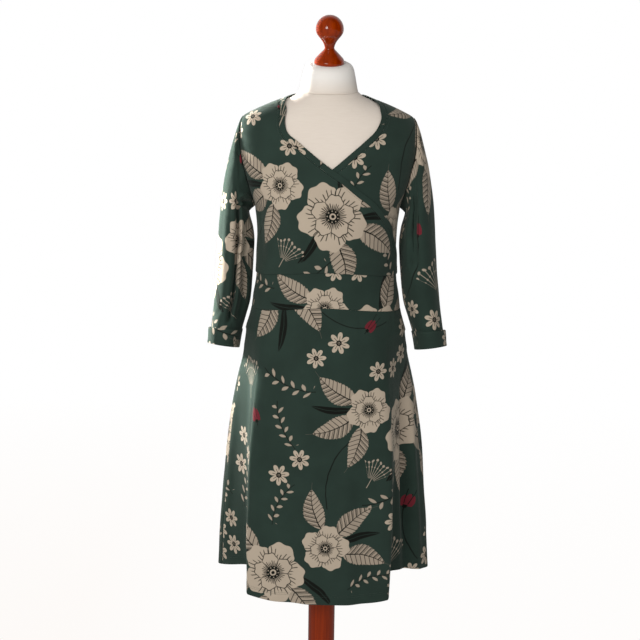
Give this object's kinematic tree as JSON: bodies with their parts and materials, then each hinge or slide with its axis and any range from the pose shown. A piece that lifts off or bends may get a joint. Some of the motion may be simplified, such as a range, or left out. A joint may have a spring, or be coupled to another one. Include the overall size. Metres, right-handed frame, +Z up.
{
  "type": "sheath dress on a dress form",
  "caption": "Knee-length jersey wrap-look dress with three-quarter sleeves and midriff band, on a limbless dress form with wooden finial, pole and base.",
  "frame": {"origin": "middle of the base's underside, on the pole's axis", "axes": "+Z up, the dress's front towards -Y, the wearer's left towards +X"},
  "size_m": [0.4924, 0.34, 1.6226],
  "materials": {
    "printed_jersey": "matt knit jersey with a soft sheen, dark green with a cream floral print",
    "form_cover": "matt cream cotton jersey, stretched smooth",
    "stained_wood": "turned wood, mahogany stain under satin varnish"
  },
  "bodies": {
    "root": {"bodice_front_over": "printed_jersey", "bodice_front_under": "printed_jersey", "bodice_back": "printed_jersey", "midriff_front": "printed_jersey", "midriff_back": "printed_jersey", "skirt_front": "printed_jersey", "skirt_back": "printed_jersey", "sleeve_left": "printed_jersey", "sleeve_right": "printed_jersey", "cuff_left": "printed_jersey", "cuff_right": "printed_jersey", "neckband_over": "printed_jersey", "neckband_under": "printed_jersey", "neckband_back": "printed_jersey", "form_torso": "form_cover", "form_neck": "form_cover", "finial": "stained_wood", "pole": "stained_wood", "base": "stained_wood"}
  },
  "joints": []
}
